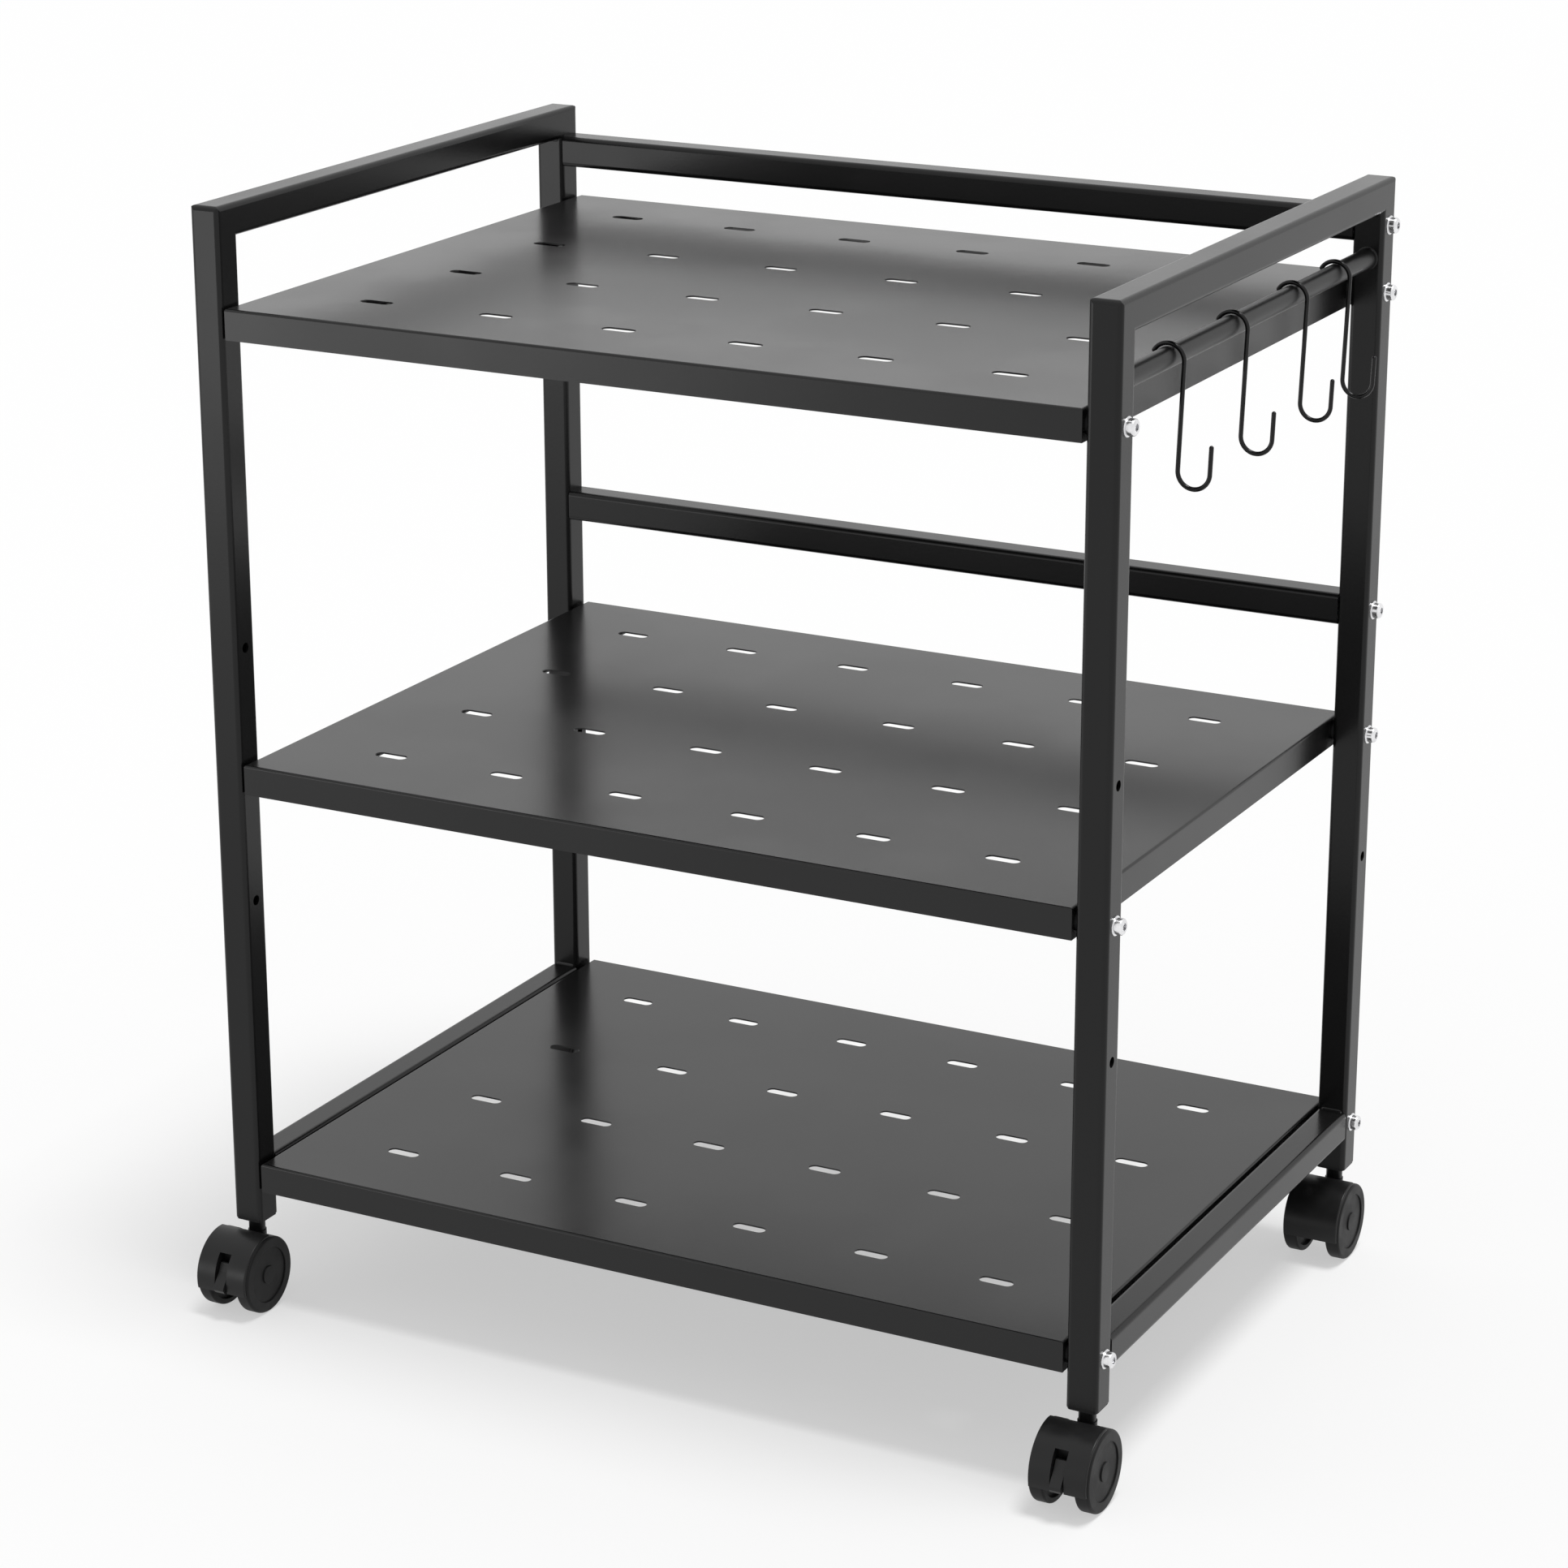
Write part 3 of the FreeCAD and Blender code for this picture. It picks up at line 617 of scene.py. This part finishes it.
@dataclass(frozen=True)
class Studio:
    """The white studio: a pale floor, an even surround and soft lamps."""

    floor_radius: float = 40.0
    floor_colour: Colour = (0.6, 0.6, 0.6)
    floor_mottle: Colour = (0.55, 0.55, 0.55)
    white: Colour = (1.0, 1.0, 1.0)
    mottle_scale: float = 1.5
    mottle_span: Place = (0.3, 0.7)
    mottle_share: float = 0.4
    shadow_share: float = 0.5
    surround_level: float = 0.42
    lamps: tuple[SkyPanel | SoftBox, ...] = (
        SkyPanel(),
        SoftBox("left_softbox", (-1.6, -1.95, 0.27), (-0.3, -0.2, 0.4), (1.2, 0.5), 4.5),
    )

    def sees_backdrop(self, board: Board) -> bpy.types.NodeSocket:
        """Tells which rays see the white backdrop: the camera's, and those of gloss and glass.

        Args:
            board: the material's board.

        Returns:
            1 for such a ray, and 0 for any other.
        """
        path = board.place("LightPath")
        straight = board.math("MAXIMUM", path.outputs["Is Camera Ray"],
                              path.outputs["Is Transmission Ray"])
        return board.math("MAXIMUM", straight, path.outputs["Is Glossy Ray"])

    def floor_material(self) -> bpy.types.Material:
        """A matte floor that the camera sees white, with the cart's shadow on it.

        Returns:
            The floor's material.
        """
        material = bpy.data.materials.new("studio_floor")
        material.use_nodes = True
        board = Board(material.node_tree)
        mottle = board.noise(board.own_place(), self.mottle_scale)
        shade = board.span(mottle, *self.mottle_span, to_high=self.mottle_share)
        pale = board.blend(shade, opaque(self.floor_colour), opaque(self.floor_mottle))
        plain = board.feed(board.place("BsdfDiffuse"), Color=pale)
        shaded = board.feed(board.place("BsdfDiffuse"), Color=opaque(self.white))
        even = board.feed(board.place("Emission"), Color=opaque(self.white), Strength=1.0)
        seen = board.feed(board.place("MixShader"), i0=self.shadow_share, i1=even.outputs[0],
                          i2=shaded.outputs[0])
        chosen = board.feed(board.place("MixShader"), i0=self.sees_backdrop(board),
                            i1=plain.outputs[0], i2=seen.outputs[0])
        board.feed(board.place("OutputMaterial"), Surface=chosen.outputs[0])
        return material

    def build_floor(self) -> None:
        """Lays the floor, just touched by the wheels."""
        mesh = bpy.data.meshes.new("studio_floor")
        reach = self.floor_radius
        corners = [(-reach, -reach, 0.0), (reach, -reach, 0.0), (reach, reach, 0.0),
                   (-reach, reach, 0.0)]
        mesh.from_pydata(corners, [], [(0, 1, 2, 3)])
        mesh.materials.append(self.floor_material())
        floor = bpy.data.objects.new("studio_floor", mesh)
        bpy.context.scene.collection.objects.link(floor)

    def build_surround(self) -> None:
        """Surrounds the cart with even light, and with the white backdrop that is seen."""
        world = bpy.data.worlds.new("studio_surround")
        bpy.context.scene.world = world
        world.use_nodes = True
        board = Board(world.node_tree)
        lit = board.feed(board.place("Background"), Color=opaque(self.white),
                         Strength=self.surround_level)
        seen = board.feed(board.place("Background"), Color=opaque(self.white), Strength=1.0)
        chosen = board.feed(board.place("MixShader"), i0=self.sees_backdrop(board),
                            i1=lit.outputs[0], i2=seen.outputs[0])
        board.feed(board.place("OutputWorld"), Surface=chosen.outputs[0])

    def build(self) -> None:
        """Sets up the whole studio."""
        bpy.context.scene.view_settings.view_transform = "Standard"
        self.build_surround()
        self.build_floor()
        for lamp in self.lamps:
            lamp.build()
            log.info("set up %s", lamp.name)


@dataclass(frozen=True)
class WeldBead:
    """A small hollow weld bead in an inner corner, with the ripples that its pool leaves."""

    radius: float
    ripple: float = 0.07
    pitch: float = 1.7 * MM
    root: float = 0.4 * MM
    taper: float = 1.6 * MM
    taper_share: float = 0.45
    arc_steps: int = 6
    ripple_steps: int = 6
    sections: int = 40

    def outline(self, corner: Vector, first: Vector, second: Vector, size: float) -> list[Vector]:
        """The bead's cross-section at one place, rooted a little way into both faces.

        Args:
            corner: the inner corner that the bead fills.
            first: the unit direction out of the corner along one face.
            second: the same along the other face.
            size: the bead's radius there.

        Returns:
            The points in order.
        """
        centre = corner + size * (first + second)
        arc = []
        for step in range(self.arc_steps + 1):
            turn = math.pi / 2 * step / self.arc_steps
            arc.append(centre - size * (math.sin(turn) * first + math.cos(turn) * second))
        buried = [corner - self.root * (first + second), arc[0] - self.root * second]
        return buried + arc + [arc[-1] - self.root * first]

    def skin(self, mesh: bmesh.types.BMesh, outlines: list[list[Vector]], closed: bool) -> None:
        """Joins cross-sections into one closed skin.

        Args:
            mesh: the mesh to add to.
            outlines: the cross-sections in order.
            closed: whether the last one joins the first, rather than each end having a cap.
        """
        rings = [[mesh.verts.new(point) for point in outline] for outline in outlines]
        followers = rings[1:] + rings[:1] if closed else rings[1:]
        for ring, follower in zip(rings, followers):
            for n, start in enumerate(ring):
                after = (n + 1) % len(ring)
                mesh.faces.new((start, ring[after], follower[after], follower[n]))
        if not closed:
            mesh.faces.new(rings[0])
            mesh.faces.new(list(reversed(rings[-1])))

    def straight(self, mesh: bmesh.types.BMesh, start: Vector, end: Vector, first: Vector,
                 second: Vector) -> None:
        """Adds a straight bead that thins out at both ends.

        Args:
            mesh: the mesh to add to.
            start: the corner at one end of the bead.
            end: the corner at the other end.
            first: the unit direction out of the corner along one face.
            second: the same along the other face.
        """
        length = (end - start).length
        outlines = []
        for n in range(self.sections + 1):
            along = length * n / self.sections
            inside = min(1.0, min(along, length - along) / self.taper)
            share = self.taper_share + (1.0 - self.taper_share) * math.sin(inside * math.pi / 2)
            wave = 1.0 + self.ripple * math.cos(2 * math.pi * along / self.pitch)
            corner = start.lerp(end, n / self.sections)
            outlines.append(self.outline(corner, first, second, self.radius * share * wave))
        self.skin(mesh, outlines, closed=False)

    def ring(self, mesh: bmesh.types.BMesh, centre: Vector, bar_radius: float,
             along: Vector) -> None:
        """Adds a bead round the end of a round bar.

        Args:
            mesh: the mesh to add to.
            centre: where the bar's middle line meets the face.
            bar_radius: the bar's radius.
            along: the unit direction of the bar away from the face.
        """
        ripples = round(2 * math.pi * bar_radius / self.pitch)
        steps = ripples * self.ripple_steps
        outlines = []
        for n in range(steps):
            turn = 2 * math.pi * n / steps
            outward = Matrix.Rotation(turn, 3, along) @ along.orthogonal().normalized()
            wave = 1.0 + self.ripple * math.cos(turn * ripples)
            corner = centre + bar_radius * outward
            outlines.append(self.outline(corner, along, outward, self.radius * wave))
        self.skin(mesh, outlines, closed=True)


def place_piece(name: str, mesh: bmesh.types.BMesh, body: str, slot: Slot,
                dresser: Dresser) -> None:
    """Turns a finished mesh into a dressed piece that rides on a body.

    Args:
        name: the piece's name.
        mesh: its mesh, which is used up.
        body: the body that it rides on.
        slot: the slot that it takes its finish from.
        dresser: what hands out the finishes.
    """
    bmesh.ops.recalc_face_normals(mesh, faces=mesh.faces)
    data = bpy.data.meshes.new(name)
    mesh.to_mesh(data)
    mesh.free()
    piece = bpy.data.objects.new(name, data)
    bpy.context.scene.collection.objects.link(piece)
    dresser.dress(piece, slot)
    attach(piece, body)
    log.info("built %s on %s", name, body)


class SubAssembly:
    """One sub-assembly of the cart, with solids to dress and perhaps pieces to build."""

    def build(self, dresser: Dresser) -> None:
        """Builds what isn't among the solids, which is nothing unless a class says more."""

    def dress(self, dresser: Dresser) -> None:
        """Dresses the solids with what hands out the finishes."""
        raise NotImplementedError


@dataclass
class EndFrame(SubAssembly):
    """One welded side of the cart: two posts, the handle on top and the rail at the bottom."""

    side: Side
    tube_round: float = 3.0 * MM
    handle_bead: WeldBead = WeldBead(2.2 * MM)
    rail_bead: WeldBead = WeldBead(1.6 * MM)

    def build(self, dresser: Dresser) -> None:
        """Builds the weld beads in the corners between the tubes, as one piece.

        Args:
            dresser: what hands out the finishes.
        """
        side = self.side.value
        mesh = bmesh.new()
        handle_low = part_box(f"{side}_handle")[0]
        rail_low, rail_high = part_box(f"{side}_side_rail")
        down = Vector((0.0, 0.0, -1.0))
        for end in End:
            low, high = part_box(f"{side}_{end.value}_post")
            left, right = low.x + self.tube_round, high.x - self.tube_round
            face, way = (high.y, 1.0) if end is End.FRONT else (low.y, -1.0)
            for bead, level, second in ((self.handle_bead, handle_low.z, down),
                                        (self.rail_bead, rail_low.z, down),
                                        (self.rail_bead, rail_high.z, -down)):
                bead.straight(mesh, Vector((left, face, level)), Vector((right, face, level)),
                              Vector((0.0, way, 0.0)), second)
        place_piece(f"{side}_frame_welds", mesh, FRAME_BODY, Slot.FRAME, dresser)

    def dress(self, dresser: Dresser) -> None:
        """Coats the four tubes."""
        names = [f"{self.side.value}_{part}"
                 for part in ("front_post", "rear_post", "handle", "side_rail")]
        dresser.dress_nodes(names, Slot.FRAME)


@dataclass
class BackRails(SubAssembly):
    """The two rails between the rear posts."""

    def dress(self, dresser: Dresser) -> None:
        """Coats both rails and finishes their hidden threaded ends.

        Args:
            dresser: what hands out the finishes.
        """
        dresser.dress_nodes(["upper_back_rail", "middle_back_rail"], Slot.FRAME)
        dresser.dress_nodes(["rail_inserts"], Slot.PLAIN_STEEL)
        dresser.dress_nodes(["rail_bolts"], Slot.BOLT)


@dataclass
class Shelf(SubAssembly):
    """One folded sheet shelf with its bolts, nuts and spacers."""

    level: str

    def dress(self, dresser: Dresser) -> None:
        """Coats the sheet and finishes its fasteners.

        Args:
            dresser: what hands out the finishes.
        """
        dresser.dress_nodes([f"{self.level}_tray"], Slot.TRAY)
        dresser.dress_nodes([f"{self.level}_tray_bolts", f"{self.level}_tray_nuts"], Slot.BOLT)
        dresser.dress_nodes([f"{self.level}_tray_spacers"], Slot.PLASTIC)


@dataclass
class HookBar(SubAssembly):
    """The round bar beside the top shelf and the four wire hooks on it."""

    hooks: int = 4
    bead: WeldBead = WeldBead(1.0 * MM)

    def build(self, dresser: Dresser) -> None:
        """Builds the ring of weld at each end of the bar, both as one piece.

        Args:
            dresser: what hands out the finishes.
        """
        low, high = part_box("hook_bar")
        middle = (low + high) / 2
        radius = (high.z - low.z) / 2
        mesh = bmesh.new()
        for face, way in ((low.y, 1.0), (high.y, -1.0)):
            self.bead.ring(mesh, Vector((middle.x, face, middle.z)), radius,
                           Vector((0.0, way, 0.0)))
        place_piece("hook_bar_welds", mesh, FRAME_BODY, Slot.BAR, dresser)

    def dress(self, dresser: Dresser) -> None:
        """Coats the bar and the hooks."""
        dresser.dress_nodes(["hook_bar"], Slot.BAR)
        dresser.dress_nodes([f"wire_hook_{n + 1}" for n in range(self.hooks)], Slot.HOOK)


@dataclass
class Caster(SubAssembly):
    """One twin-wheel caster under a post."""

    end: End
    side: Side

    def dress(self, dresser: Dresser) -> None:
        """Finishes the caster's parts.

        Args:
            dresser: what hands out the finishes.
        """
        place = f"{self.end.value}_{self.side.value}"
        dresser.dress_nodes([f"{place}_caster_socket"], Slot.PLASTIC)
        dresser.dress_nodes([f"{place}_caster_stem"], Slot.STEM)
        dresser.dress_nodes([f"{place}_caster_hood"], Slot.HOOD)
        dresser.dress_nodes([f"{place}_caster_axle"], Slot.PLAIN_STEEL)
        wheels = [f"{place}_caster_{side.value}_wheel" for side in Side]
        dresser.dress_nodes(wheels, Slot.WHEEL)
        if self.end is End.FRONT:
            dresser.dress_nodes([f"{place}_brake_lever"], Slot.BRAKE)
            dresser.dress_nodes([f"{place}_brake_pin"], Slot.PLAIN_STEEL)


def main() -> None:
    """Builds the studio, then dresses the cart piece by piece."""
    logging.basicConfig(level=logging.INFO, format="%(name)s: %(message)s")
    Studio().build()
    PhotoCamera().build()
    dresser = Dresser()
    pieces: list[SubAssembly] = [EndFrame(side) for side in Side]
    pieces.append(BackRails())
    pieces += [Shelf(level) for level in ("top", "middle", "bottom")]
    pieces.append(HookBar())
    pieces += [Caster(end, side) for end in End for side in Side]
    for piece in pieces:
        piece.build(dresser)
        piece.dress(dresser)
        log.info("finished %s", type(piece).__name__)


if __name__ == "__main__":
    main()
